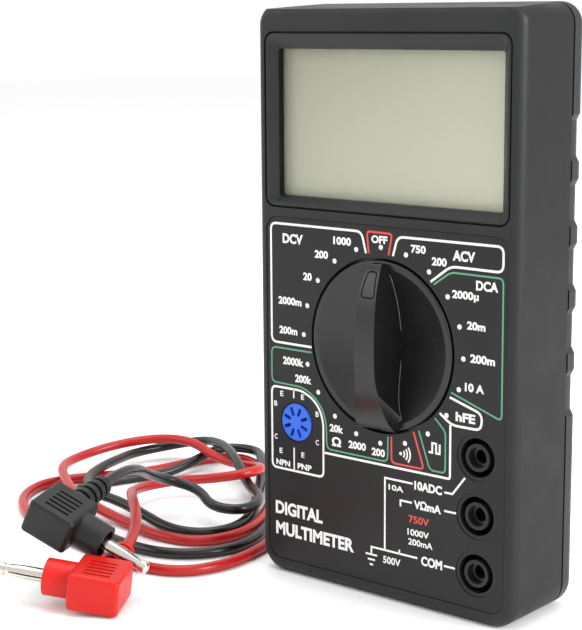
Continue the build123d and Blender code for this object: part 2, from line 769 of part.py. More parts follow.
with BuildPart() as plug_body:
    Box(plug_width, plug_length, plug_thickness)
    fillet(plug_body.edges(), radius=1.3)
    # grip grooves across both broad faces
    groove_pitch = 2.2
    for side in (-1, 1):
        for step in range(-2, 3):
            with Locations((0, groove_pitch * step - 1.0, side * plug_thickness / 2)):
                Box(8.0, 0.9, 0.9, mode=Mode.SUBTRACT)
    disc_x(plug_width / 2 - 3.0, plug_width / 2 + shroud_length, shroud_radius)
    disc_x(plug_width / 2, plug_width / 2 + shroud_length, shroud_bore, Mode.SUBTRACT)
    disc_x(pin_root, plug_width / 2, pin_base_radius, Mode.SUBTRACT)
    # ribbed strain relief round the cable
    with BuildSketch(Plane(origin=(0, plug_length / 2 - 1.0, 0), z_dir=(0, 1, 0))) as relief_root:
        Circle(2.6)
    extrude(relief_root.sketch, amount=relief_length + 1.0)
    ring_pitch = (relief_length - relief_ring_width) / (relief_rings - 1)
    for ring in range(relief_rings):
        ring_radius = 4.1 - 0.2 * ring
        ring_start = plug_length / 2 + ring_pitch * ring
        with BuildSketch(Plane(origin=(0, ring_start, 0), z_dir=(0, 1, 0))) as ring_face:
            Circle(ring_radius)
        extrude(ring_face.sketch, amount=relief_ring_width)

with BuildPart() as plug_pin:
    disc_x(pin_root, lantern_start, pin_base_radius)
    disc_x(lantern_start, lantern_end, pin_core_radius)
    disc_x(lantern_end, pin_reach, pin_base_radius)
    fillet(plug_pin.faces().sort_by(Axis.X)[-1].edges(), radius=1.0)

with BuildPart() as plug_lantern:
    lantern_middle = (lantern_start + lantern_end) / 2
    end_radius = pin_core_radius + lantern_sheet
    with BuildSketch(Plane.XY) as leaf:
        with BuildLine():
            ThreePointArc((lantern_start, end_radius), (lantern_middle, lantern_radius),
                          (lantern_end, end_radius))
            Line((lantern_end, end_radius), (lantern_end, pin_core_radius))
            ThreePointArc((lantern_end, pin_core_radius),
                          (lantern_middle, lantern_radius - lantern_sheet),
                          (lantern_start, pin_core_radius))
            Line((lantern_start, pin_core_radius), (lantern_start, end_radius))
        make_face()
    revolve(leaf.sketch, axis=Axis.X)
    # slits that part the leaves
    slit_length = lantern_end - lantern_start - 3.0
    with Locations((lantern_middle, 0, 0)):
        Box(slit_length, 0.5, 6.0, mode=Mode.SUBTRACT)
        Box(slit_length, 6.0, 0.5, mode=Mode.SUBTRACT)

# A probe's own frame: the cable enters at the origin and the tip points along +X.
handle_length = 66.0
handle_radius = 4.7
guard_radius = 6.0
nose_radius = 2.6
probe_length = 80.0
tip_radius = 1.0
tip_root = 46.0
grip_start = 22.0
grip_rings = 8
grip_pitch = 3.2

with BuildPart() as probe_handle:
    with BuildSketch(Plane.XY) as handle_half:
        with BuildLine():
            Polyline((0, 0), (0, 2.7), (13.0, 3.3), (14.0, handle_radius - 0.3),
                     (16.0, handle_radius), (56.0, handle_radius), (58.0, guard_radius),
                     (60.5, guard_radius), (61.5, 3.6), (handle_length, nose_radius),
                     (handle_length, 0), close=True)
        make_face()
    revolve(handle_half.sketch, axis=Axis.X)
    # finger grooves round the handle
    for ring in range(grip_rings):
        ring_start = grip_start + grip_pitch * ring
        with BuildSketch(Plane(origin=(ring_start, 0, 0), z_dir=(1, 0, 0))) as grip_face:
            Circle(handle_radius + 1)
            Circle(handle_radius - 0.35, mode=Mode.SUBTRACT)
        extrude(grip_face.sketch, amount=1.2, mode=Mode.SUBTRACT)
    disc_x(tip_root, handle_length, tip_radius, Mode.SUBTRACT)

with BuildPart() as probe_tip:
    disc_x(tip_root, probe_length, tip_radius)
    chamfer(probe_tip.faces().sort_by(Axis.X)[-1].edges(), length=4.0, length2=0.85)

black_route = [
    (-85.7, -40, 24.3), (-89.7, -28.2, 25.4), (-94.5, -15, 22.5), (-102.5, -4, 17),
    (-105, 8, 12), (-96, 14, 9), (-84, 7, 6.5), (-75, 14, 5.5), (-80, 28, 5.5), (-95, 37, 5.4),
    (-110, 48, 9.8), (-126, 59, 10.3), (-142, 66, 8), (-156, 60, 4.5), (-160, 46, 4),
    (-155, 33, 5.2), (-151, 20, 5.5), (-145, 8, 5.2), (-133, -2, 5), (-119, -3, 5),
    (-104, -5, 3.5), (-89, -8, 1.7), (-76, -4, 1.7), (-73, 10, 1.7), (-84, 28, 1.7),
    (-97, 46, 2.5), (-110, 62, 5.4), (-123, 75, 5.4), (-137, 69, 5.5), (-134, 52, 4.2),
    (-136, 39, 1.7), (-143, 25, 1.7), (-148, 9, 1.7), (-141, -6, 1.7), (-126, -17, 1.7),
    (-106, -24, 1.7), (-88, -28, 1.7), (-71, -26, 1.7), (-60, -14, 1.7), (-60, 1, 1.7),
    (-66, 13, 1.7), (-71, 25, 1.7), (-75, 38, 2.6), (-69.5, 50, 4.6), (-57, 52, 6.05)]
red_route = [
    (-69.6, -46.7, 8.4), (-75.6, -36.6, 9.1), (-84, -27, 12), (-95, -18, 13.2), (-106, -8, 10.8),
    (-116, 2, 7.2), (-122, 14, 5.2), (-118, 27, 5.2), (-105, 29, 7.5), (-94, 36, 9.8),
    (-97, 49, 8.7), (-112, 54, 5.5), (-126, 54, 6.3), (-141, 58, 9.3), (-156, 55, 8.7),
    (-166, 42, 7), (-169, 26, 5.2), (-162, 11, 6), (-148, 1, 5.2), (-133, -8, 5.2),
    (-118, -11, 3.5), (-103, -12, 1.7), (-88, -15, 1.7), (-72, -12, 1.7), (-67, 4, 1.7),
    (-73, 20, 1.7), (-84, 37, 1.7), (-99.5, 56, 1.7), (-117, 69, 1.7), (-132, 73, 1.7),
    (-140, 60, 1.7), (-141, 45, 1.7), (-146, 31, 1.7), (-155, 18, 1.7), (-162, 3, 1.7),
    (-156, -12, 1.7), (-143, -23, 1.7), (-126, -30, 1.7), (-108, -35, 1.7), (-90, -38, 1.7),
    (-72, -40, 1.7), (-57, -36, 1.7), (-51, -23, 1.7), (-52, -8, 1.7), (-56, 7, 1.7),
    (-61, 18, 2.6), (-58, 29.2, 4.6), (-46, 31, 6.05)]


def cable(route, colour):
    """Tube along a route, each corner rounded as much as its two runs allow."""
    runs = [Vector(*end) - Vector(*start) for start, end in zip(route, route[1:])]
    radii = []
    for before, after in zip(runs, runs[1:]):
        half_turn = radians(before.get_angle(after)) / 2
        radii.append(0.45 * min(before.length, after.length) / tan(half_turn))
    with BuildPart() as tube:
        with BuildLine() as path:
            FilletPolyline(*route, radius=radii)
        with BuildSketch(Plane(origin=route[0], z_dir=runs[0])) as section:
            Circle(cable_radius)
        sweep(section.sketch, path=path.line)
    length = path.wires()[0].length
    expected = pi * cable_radius ** 2 * length
    print(colour, "lead: radii", [round(radius, 1) for radius in radii])
    print(colour, f"lead: length {length:.0f} mm, volume {tube.part.volume / expected:.4f} of"
          " section x length")
    return tube.part


leads = [("black", Location((-77.3, -64.5, 21.9), (-4, 26, 21)), Location(black_route[-1])),
         ("red", Location((-56.3, -69.0, 6.9), (-181, -8, 149)), Location(red_route[-1]))]
for colour, plug_place, probe_place in leads:
    save(plug_body.part.moved(plug_place), f"plug_body_{colour}")
    save(plug_pin.part.moved(plug_place), f"plug_pin_{colour}")
    save(plug_lantern.part.moved(plug_place), f"plug_lantern_{colour}")
    save(probe_handle.part.moved(probe_place), f"probe_handle_{colour}")
    save(probe_tip.part.moved(probe_place), f"probe_tip_{colour}")
    print(colour, "relief ends at", (plug_place * Location((0, relief_end, 0))).position)
save(cable(black_route, "black"), "cable_black")
save(cable(red_route, "red"), "cable_red")
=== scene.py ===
"""Looks for the digital multimeter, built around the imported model.  Units are metres."""
import json
from math import cos, pi, radians, sin, sqrt

import bmesh
import bpy
from mathutils import Matrix, Vector


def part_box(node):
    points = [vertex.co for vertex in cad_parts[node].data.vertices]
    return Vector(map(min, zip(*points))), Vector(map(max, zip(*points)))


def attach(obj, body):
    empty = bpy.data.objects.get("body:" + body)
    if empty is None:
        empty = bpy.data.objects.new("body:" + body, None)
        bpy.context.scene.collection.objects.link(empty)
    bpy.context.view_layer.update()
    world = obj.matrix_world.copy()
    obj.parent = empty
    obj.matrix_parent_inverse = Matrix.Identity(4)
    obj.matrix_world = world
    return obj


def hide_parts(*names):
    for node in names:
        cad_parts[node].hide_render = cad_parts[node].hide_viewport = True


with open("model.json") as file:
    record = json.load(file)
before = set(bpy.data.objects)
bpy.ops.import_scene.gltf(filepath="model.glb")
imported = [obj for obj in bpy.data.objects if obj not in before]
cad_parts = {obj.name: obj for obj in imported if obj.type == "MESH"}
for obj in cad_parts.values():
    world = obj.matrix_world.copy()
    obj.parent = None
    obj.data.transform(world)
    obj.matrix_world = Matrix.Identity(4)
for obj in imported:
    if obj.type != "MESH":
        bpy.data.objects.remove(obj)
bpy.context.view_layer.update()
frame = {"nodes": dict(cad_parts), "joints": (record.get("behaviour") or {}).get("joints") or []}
nodes = frame["nodes"]
MM = 0.001

# ---------------------------------------------------------------- measures read from the frame
LABEL_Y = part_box("label_overlay")[0].y
KNOB_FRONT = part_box("selector_knob")[0].y
case_low, case_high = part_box("front_case")
PANEL_Y = case_low.y
DIAL = Vector(frame["joints"][0]["pos_m"])
JACKS = ["input_jack_10adc", "input_jack_vohm_ma", "input_jack_com"]
POSITIONS = 20               # of the selector
CABLE_RADIUS = 1.7 * MM

# ---------------------------------------------------------------- camera
CAMERA_PLACE = Vector((0.2755, -0.3748, 0.1660))
CAMERA_AIM = Vector((-0.6372, 0.7496, -0.1793))
CAMERA_ROLL = radians(-0.42)
CAMERA_LENS = 94.6
SENSOR_HEIGHT = 36.0
NEAREST_SEEN = 0.01


def add_camera():
    """Camera at the viewing angle of the reference, with no shift and no depth of field."""
    data = bpy.data.cameras.new("camera")
    data.sensor_fit = "VERTICAL"
    data.sensor_height = SENSOR_HEIGHT
    data.lens = CAMERA_LENS
    data.clip_start = NEAREST_SEEN
    camera = bpy.data.objects.new("camera", data)
    aim = CAMERA_AIM.to_track_quat("-Z", "Y").to_matrix().to_4x4()
    roll = Matrix.Rotation(CAMERA_ROLL, 4, "Z")
    camera.matrix_world = Matrix.Translation(CAMERA_PLACE) @ aim @ roll
    bpy.context.scene.collection.objects.link(camera)
    bpy.context.scene.camera = camera


# ---------------------------------------------------------------- materials
# scales of noise, in cells per metre
DRIFT_SCALE = 35.0
SMUDGE_SCALE = 90.0
TARNISH_SCALE = 60.0
MARK_SCALE = 900.0
INK_SCALE = 1500.0
SPECKLE_SCALE = 2600.0
GRAIN_DEPTH = 0.06 * MM
MARK_DEPTH = 0.02 * MM
RECESS_SHADE = 0.15          # how much of the colour is left where shade is painted deep in a recess


def shader(name, color, roughness, metallic=0.0, specular=0.5, coat=0.0, coat_roughness=0.05):
    """New material with one Principled shader; uniform values sit on the shader itself."""
    material = bpy.data.materials.new(name)
    material.use_nodes = True
    node = material.node_tree.nodes["Principled BSDF"]
    node.inputs["Base Color"].default_value = (*color, 1.0)
    node.inputs["Roughness"].default_value = roughness
    node.inputs["Metallic"].default_value = metallic
    node.inputs["Specular IOR Level"].default_value = specular
    node.inputs["Coat Weight"].default_value = coat
    node.inputs["Coat Roughness"].default_value = coat_roughness
    return material, material.node_tree, node


def object_place(tree):
    """Object coordinates of a surface point."""
    return tree.nodes.new("ShaderNodeTexCoord").outputs["Object"]


def object_axes(tree):
    """Object coordinates, split into X, Y and Z."""
    split = tree.nodes.new("ShaderNodeSeparateXYZ")
    tree.links.new(object_place(tree), split.inputs["Vector"])
    return split.outputs


def object_noise(tree, scale, detail=3.0):
    """Noise in object coordinates; scale is in cells per metre."""
    noise = tree.nodes.new("ShaderNodeTexNoise")
    noise.inputs["Scale"].default_value = scale
    noise.inputs["Detail"].default_value = detail
    tree.links.new(object_place(tree), noise.inputs["Vector"])
    return noise.outputs["Fac"]


def map_range(tree, value, low, high, from_low=0.3, from_high=0.7):
    """A value brought from one range to another."""
    node = tree.nodes.new("ShaderNodeMapRange")
    node.inputs["From Min"].default_value = from_low
    node.inputs["From Max"].default_value = from_high
    node.inputs["To Min"].default_value = low
    node.inputs["To Max"].default_value = high
    tree.links.new(value, node.inputs["Value"])
    return node.outputs["Result"]


def mix_color(tree, factor, first, second):
    """Colour between two, by a factor; either may be a colour or a socket."""
    node = tree.nodes.new("ShaderNodeMix")
    node.data_type = "RGBA"
    tree.links.new(factor, node.inputs["Factor"])
    for socket, color in ((node.inputs["A"], first), (node.inputs["B"], second)):
        if isinstance(color, tuple):
            socket.default_value = (*color, 1.0)
        else:
            tree.links.new(color, socket)
    return node.outputs["Result"]


def add_bump(tree, node, height, strength, distance):
    """Bump from a height socket into a shader."""
    bump = tree.nodes.new("ShaderNodeBump")
    bump.inputs["Strength"].default_value = strength
    bump.inputs["Distance"].default_value = distance
    tree.links.new(height, bump.inputs["Height"])
    tree.links.new(bump.outputs["Normal"], node.inputs["Normal"])


def moulded(name, color, roughness, grain=1800.0, bump=0.25, spread=0.12, coat=0.0, specular=0.5):
    """Moulded plastic or rubber: fine grain, a little colour drift and uneven gloss."""
    material, tree, node = shader(name, color, roughness, coat=coat, specular=specular)
    drift = object_noise(tree, DRIFT_SCALE, 4.0)
    darker = tuple(channel * (1 - spread) for channel in color)
    lighter = tuple(min(1.0, channel * (1 + spread)) for channel in color)
    tree.links.new(mix_color(tree, map_range(tree, drift, 0, 1), darker, lighter),
                   node.inputs["Base Color"])
    smudge = object_noise(tree, SMUDGE_SCALE, 5.0)
    tree.links.new(map_range(tree, smudge, roughness * 0.88, min(1.0, roughness * 1.14)),
                   node.inputs["Roughness"])
    add_bump(tree, node, object_noise(tree, grain, 2.0), bump, GRAIN_DEPTH)
    return material


def metal(name, color, roughness):
    """Plated or turned metal with fine marks and a little tarnish."""
    material, tree, node = shader(name, color, roughness, metallic=1.0)
    marks = object_noise(tree, MARK_SCALE, 4.0)
    tree.links.new(map_range(tree, marks, roughness * 0.7, roughness * 1.5),
                   node.inputs["Roughness"])
    tarnish = object_noise(tree, TARNISH_SCALE, 5.0)
    dull = tuple(channel * 0.8 for channel in color)
    tree.links.new(mix_color(tree, map_range(tree, tarnish, 0, 1), color, dull),
                   node.inputs["Base Color"])
    add_bump(tree, node, marks, 0.15, MARK_DEPTH)
    return material


def with_painted_recess_shade(name, color, roughness, start, end, **gloss):
    """Moulded plastic with painted shade: it darkens between two depths behind the front panel."""
    material = moulded(name, color, roughness, **gloss)
    tree = material.node_tree
    node = tree.nodes["Principled BSDF"]
    surface = node.inputs["Base Color"].links[0].from_socket
    depth = map_range(tree, object_axes(tree)["Y"], 0, 1, PANEL_Y + start, PANEL_Y + end)
    # painted shade: the colour darkens with depth behind the panel, where shade falls in a recess
    dark = tuple(channel * RECESS_SHADE for channel in color)
    tree.links.new(mix_color(tree, depth, surface, dark), node.inputs["Base Color"])
    return material


def ink(name, color):
    """Screen-printed ink: nearly flat colour, slightly uneven cover."""
    material, tree, node = shader(name, color, 0.5)
    cover = object_noise(tree, INK_SCALE)
    thin = tuple(channel * 0.82 for channel in color)
    tree.links.new(mix_color(tree, map_range(tree, cover, 0, 1, 0.35, 0.6), thin, color),
                   node.inputs["Base Color"])
    return material


def display_material():
    """Liquid crystal cell: grey-green, with painted shade at the upper left and a painted
    reflection lightening it towards the lower right, faint speckle.
    """
    material, tree, node = shader("display", (0.5, 0.52, 0.4), 0.3, specular=0.3)
    axes = object_axes(tree)
    low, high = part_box("lcd_glass")
    across = map_range(tree, axes["X"], 0, 0.5, low.x, high.x)
    down = map_range(tree, axes["Z"], 0.5, 0, low.z, high.z)
    # painted light and shade across the cell: darker to the upper left, lighter to the lower right
    painted_light_and_shade = tree.nodes.new("ShaderNodeMath")
    painted_light_and_shade.operation = "ADD"
    tree.links.new(across, painted_light_and_shade.inputs[0])
    tree.links.new(down, painted_light_and_shade.inputs[1])
    # painted shade colour first, painted reflection colour second
    base = mix_color(tree, painted_light_and_shade.outputs["Value"], (0.25, 0.255, 0.175), (0.50, 0.51, 0.385))
    speckle = map_range(tree, object_noise(tree, SPECKLE_SCALE, 2.0), 0, 0.05)
    tree.links.new(mix_color(tree, speckle, base, (0.2, 0.21, 0.15)), node.inputs["Base Color"])
    return material


def clear(name, color, opacity, smoothest, haziest, haze_scale, detail=3.0):
    """Clear acrylic or glass with a faint, uneven haze; opacity is how much it hides."""
    material, tree, node = shader(name, color, haziest)
    node.inputs["Alpha"].default_value = opacity
    haze = object_noise(tree, haze_scale, detail)
    tree.links.new(map_range(tree, haze, smoothest, haziest), node.inputs["Roughness"])
    return material


def board_material():
    """Solder mask with a pattern of paler tracks under it."""
    mask = (0.03, 0.16, 0.07)
    track = (0.09, 0.3, 0.12)
    tracks_per_metre = 240.0
    material, tree, node = shader("board", mask, 0.35, coat=0.4)
    mapping = tree.nodes.new("ShaderNodeMapping")
    mapping.inputs["Scale"].default_value = (tracks_per_metre,) * 3
    bricks = tree.nodes.new("ShaderNodeTexBrick")
    bricks.inputs["Color1"].default_value = (*mask, 1.0)
    bricks.inputs["Color2"].default_value = (0.035, 0.19, 0.08, 1.0)
    bricks.inputs["Mortar"].default_value = (*track, 1.0)
    bricks.inputs["Mortar Size"].default_value = 0.06
    turned = tree.nodes.new("ShaderNodeCombineXYZ")
    axes = object_axes(tree)
    tree.links.new(axes["X"], turned.inputs["X"])
    tree.links.new(axes["Z"], turned.inputs["Y"])
    tree.links.new(turned.outputs["Vector"], mapping.inputs["Vector"])
    tree.links.new(mapping.outputs["Vector"], bricks.inputs["Vector"])
    tree.links.new(bricks.outputs["Color"], node.inputs["Base Color"])
    return material


def banded(name, color, band, pitch):
    """Lacquered body with coloured bands along X; pitch is in metres."""
    material, tree, node = shader(name, color, 0.3, coat=0.3)
    wave = tree.nodes.new("ShaderNodeTexWave")
    wave.bands_direction = "X"
    wave.inputs["Scale"].default_value = pi / 10 / pitch
    tree.links.new(object_place(tree), wave.inputs["Vector"])
    lines = map_range(tree, wave.outputs["Fac"], 0, 1, 0.82, 0.9)
    tree.links.new(mix_color(tree, lines, color, band), node.inputs["Base Color"])
    return material


# ---------------------------------------------------------------- shapes
def new_piece(name, mesh, material, body="meter"):
    """Object from a mesh, with its material, riding on a body."""
    piece = bpy.data.objects.new(name, mesh)
    bpy.context.scene.collection.objects.link(piece)
    mesh.materials.clear()
    mesh.materials.append(material)
    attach(piece, body)
    return piece


def mesh_from(name, form):
    """Mesh from a bmesh, which is then freed."""
    mesh = bpy.data.meshes.new(name)
    form.to_mesh(mesh)
    form.free()
    return mesh


def rounded(points, radius, closed=False, steps=6):
    """Points of a polyline in the label's plane with its corners rounded."""
    result = []
    count = len(points)
    for index, point in enumerate(points):
        corner = Vector(point)
        if not closed and index in (0, count - 1):
            result.append(corner)
            continue
        before = Vector(points[index - 1]) - corner
        after = Vector(points[(index + 1) % count]) - corner
        reach = min(radius, before.length / 2, after.length / 2)
        start = corner + before.normalized() * reach
        end = corner + after.normalized() * reach
        for step in range(steps + 1):
            share = step / steps
            rest = 1 - share
            result.append(start * rest ** 2 + corner * 2 * share * rest + end * share ** 2)
    return result


def arc(centre, radius, start, end, steps=16):
    """Points along an arc; angles in degrees, anticlockwise from the right."""
    angles = [radians(start + (end - start) * step / steps) for step in range(steps + 1)]
    return [(centre[0] + radius * cos(angle), centre[1] + radius * sin(angle))
            for angle in angles]


SHORTEST_RUN = 0.02          # millimetres between two points of a printed line
SHARPEST_MITRE = 0.5


def stroke(form, points, width, depth, closed=False):
    """Flat line of a width along points (x, z) in millimetres, added to a bmesh facing -Y."""
    path = [Vector(point) for point in points]
    cleaned = [path[0]]
    for point in path[1:]:
        if (point - cleaned[-1]).length > SHORTEST_RUN:
            cleaned.append(point)
    count = len(cleaned)
    pairs = []
    for index, point in enumerate(cleaned):
        before = cleaned[index - 1] if closed or index > 0 else None
        after = cleaned[(index + 1) % count] if closed or index < count - 1 else None
        arriving = (point - before).normalized() if before else (after - point).normalized()
        leaving = (after - point).normalized() if after else arriving
        along = (arriving + leaving).normalized()
        side = Vector((-along.y, along.x))
        stretch = 1 / max(SHARPEST_MITRE, side.dot(Vector((-arriving.y, arriving.x))))
        offset = side * width / 2 * stretch
        pairs.append([form.verts.new((corner.x * MM, depth, corner.y * MM))
                      for corner in (point + offset, point - offset)])
    last = count if closed else count - 1
    for index in range(last):
        left, right = pairs[index]
        next_left, next_right = pairs[(index + 1) % count]
        form.faces.new((left, right, next_right, next_left))


def disc(form, centre, radius, depth, steps=24):
    """Filled round dot at (x, z) in millimetres, added to a bmesh facing -Y."""
    ring = arc(centre, radius, 0, 360, steps)[:-1]
    form.faces.new([form.verts.new((across * MM, depth, up * MM)) for across, up in ring])


def tube(form, path, radius, sides=8):
    """Round tube along a path of points, closed at both ends, added to a bmesh."""
    rings = []
    for index, point in enumerate(path):
        along = (path[min(index + 1, len(path) - 1)] - path[max(index - 1, 0)]).normalized()
        across = along.cross(Vector((0.0, 1.0, 0.0))).normalized()
        rise = across.cross(along)
        turns = [2 * pi * step / sides for step in range(sides)]
        rings.append([form.verts.new(point + (across * cos(turn) + rise * sin(turn)) * radius)
                      for turn in turns])
    for first, second in zip(rings, rings[1:]):
        for step in range(sides):
            following = (step + 1) % sides
            form.faces.new((first[step], first[following], second[following], second[step]))
    form.faces.new(rings[0][::-1])
    form.faces.new(rings[-1])


BOLD = 0.04                  # how far letters are thickened, in the font's own units
FINE = 0.022


def lettering(form, words, centre, width, height, depth, weight=BOLD):
    """Text in the label's plane, fitted to a width and a height in millimetres."""
    curve = bpy.data.curves.new("words", "FONT")
    curve.body = words
    curve.offset = weight
    curve.resolution_u = 4
    holder = bpy.data.objects.new("words", curve)
    bpy.context.scene.collection.objects.link(holder)
    bpy.context.view_layer.update()
    graph = bpy.context.evaluated_depsgraph_get()
    mesh = bpy.data.meshes.new_from_object(holder.evaluated_get(graph))
    across_values = [vertex.co.x for vertex in mesh.vertices]
    up_values = [vertex.co.y for vertex in mesh.vertices]
    low_x, high_x = min(across_values), max(across_values)
    low_y, high_y = min(up_values), max(up_values)
    scale_x = width / (high_x - low_x)
    scale_y = height / (high_y - low_y)
    placed = []
    for vertex in mesh.vertices:
        across = (vertex.co.x - (low_x + high_x) / 2) * scale_x + centre[0]
        up = (vertex.co.y - (low_y + high_y) / 2) * scale_y + centre[1]
        placed.append(form.verts.new((across * MM, depth, up * MM)))
    for polygon in mesh.polygons:
        form.faces.new([placed[index] for index in polygon.vertices])
    bpy.data.objects.remove(holder)
    bpy.data.curves.remove(curve)
    bpy.data.meshes.remove(mesh)


def face_front(form):
    """Turn every face of a flat print towards -Y."""
    form.normal_update()
    for face in form.faces:
        if face.normal.y > 0:
            face.normal_flip()


# ---------------------------------------------------------------- the leads
# their routes in millimetres, the same points as in part.py
BLACK_ROUTE = [
    (-85.7, -40, 24.3), (-89.7, -28.2, 25.4), (-94.5, -15, 22.5), (-102.5, -4, 17),
    (-105, 8, 12), (-96, 14, 9), (-84, 7, 6.5), (-75, 14, 5.5), (-80, 28, 5.5), (-95, 37, 5.4),
    (-110, 48, 9.8), (-126, 59, 10.3), (-142, 66, 8), (-156, 60, 4.5), (-160, 46, 4),
    (-155, 33, 5.2), (-151, 20, 5.5), (-145, 8, 5.2), (-133, -2, 5), (-119, -3, 5),
    (-104, -5, 3.5), (-89, -8, 1.7), (-76, -4, 1.7), (-73, 10, 1.7), (-84, 28, 1.7),
    (-97, 46, 2.5), (-110, 62, 5.4), (-123, 75, 5.4), (-137, 69, 5.5), (-134, 52, 4.2),
    (-136, 39, 1.7), (-143, 25, 1.7), (-148, 9, 1.7), (-141, -6, 1.7), (-126, -17, 1.7),
    (-106, -24, 1.7), (-88, -28, 1.7), (-71, -26, 1.7), (-60, -14, 1.7), (-60, 1, 1.7),
    (-66, 13, 1.7), (-71, 25, 1.7), (-75, 38, 2.6), (-69.5, 50, 4.6), (-57, 52, 6.05)]
RED_ROUTE = [
    (-69.6, -46.7, 8.4), (-75.6, -36.6, 9.1), (-84, -27, 12), (-95, -18, 13.2), (-106, -8, 10.8),
    (-116, 2, 7.2), (-122, 14, 5.2), (-118, 27, 5.2), (-105, 29, 7.5), (-94, 36, 9.8),
    (-97, 49, 8.7), (-112, 54, 5.5), (-126, 54, 6.3), (-141, 58, 9.3), (-156, 55, 8.7),
    (-166, 42, 7), (-169, 26, 5.2), (-162, 11, 6), (-148, 1, 5.2), (-133, -8, 5.2),
    (-118, -11, 3.5), (-103, -12, 1.7), (-88, -15, 1.7), (-72, -12, 1.7), (-67, 4, 1.7),
    (-73, 20, 1.7), (-84, 37, 1.7), (-99.5, 56, 1.7), (-117, 69, 1.7), (-132, 73, 1.7),
    (-140, 60, 1.7), (-141, 45, 1.7), (-146, 31, 1.7), (-155, 18, 1.7), (-162, 3, 1.7),
    (-156, -12, 1.7), (-143, -23, 1.7), (-126, -30, 1.7), (-108, -35, 1.7), (-90, -38, 1.7),
    (-72, -40, 1.7), (-57, -36, 1.7), (-51, -23, 1.7), (-52, -8, 1.7), (-56, 7, 1.7),
    (-61, 18, 2.6), (-58, 29.2, 4.6), (-46, 31, 6.05)]


def add_lead(colour, route, material):
    """One test lead's cable as a smooth curve, in place of the imported cable."""
    curve = bpy.data.curves.new(f"lead_{colour}", "CURVE")
    curve.dimensions = "3D"
    curve.bevel_depth = CABLE_RADIUS
    curve.bevel_resolution = 5
    curve.resolution_u = 8
    curve.use_fill_caps = True
    spline = curve.splines.new("NURBS")
    spline.points.add(len(route) - 1)
    for point, place in zip(spline.points, route):
        point.co = (*[value * MM for value in place], 1.0)
    spline.order_u = 3
    spline.use_endpoint_u = True
    lead = bpy.data.objects.new(f"lead_{colour}", curve)
    bpy.context.scene.collection.objects.link(lead)
    curve.materials.append(material)
    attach(lead, "meter")
    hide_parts(f"cable_{colour}")


add_camera()
black_vinyl = moulded("black_vinyl", (0.004, 0.004, 0.0045), 0.3, 900.0, 0.1)
red_vinyl = moulded("red_vinyl", (0.42, 0.009, 0.009), 0.3, 900.0, 0.1, specular=0.4)
add_lead("black", BLACK_ROUTE, black_vinyl)
add_lead("red", RED_ROUTE, red_vinyl)

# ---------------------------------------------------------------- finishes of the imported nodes
CASE_BLACK = (0.015, 0.0155, 0.016)
# front case: painted shade darkens it deep in its recesses and socket holes
case_plastic = with_painted_recess_shade("case_plastic", CASE_BLACK, 0.46, 1.2 * MM, 3.5 * MM,
                        grain=1500.0, bump=0.4, specular=0.27)
shell_plastic = moulded("shell_plastic", CASE_BLACK, 0.46, 1500.0, 0.4, specular=0.3)
label_foil = moulded("label_foil", (0.012, 0.0115, 0.0122), 0.36, 3000.0, 0.08, specular=0.27)
# bezel: painted shade darkens its inner wall down to the display
bezel_plastic = with_painted_recess_shade("bezel_plastic", (0.017, 0.0175, 0.019), 0.38, 2.0 * MM, 2.6 * MM,
                         grain=2200.0, bump=0.1, specular=0.3)
knob_plastic = moulded("knob_plastic", (0.006, 0.006, 0.0065), 0.27, 700.0, 0.05, specular=0.5)
socket_plastic = moulded("socket_plastic", (0.022, 0.12, 0.66), 0.35, 1500.0, 0.2)
black_plastic = moulded("black_plastic", (0.009, 0.009, 0.010), 0.42, 1200.0, 0.3, specular=0.35)
red_plastic = moulded("red_plastic", (0.52, 0.009, 0.005), 0.4, 1200.0, 0.2, specular=0.3)
holder_plastic = moulded("holder_plastic", (0.5, 0.5, 0.47), 0.5, 1500.0, 0.2)
dark_parts = moulded("component_moulding", (0.02, 0.02, 0.021), 0.4, 1800.0, 0.3)
nickel = metal("nickel", (0.72, 0.69, 0.64), 0.2)
brass = metal("brass", (0.78, 0.58, 0.28), 0.25)
# dark nickel for the input jacks: the darkness is painted shade deep in their holes
nickel_with_painted_shade = metal("nickel_with_painted_shade", (0.16, 0.155, 0.15), 0.4)
steel = metal("steel", (0.6, 0.6, 0.6), 0.15)
copper = metal("copper", (0.72, 0.42, 0.27), 0.3)

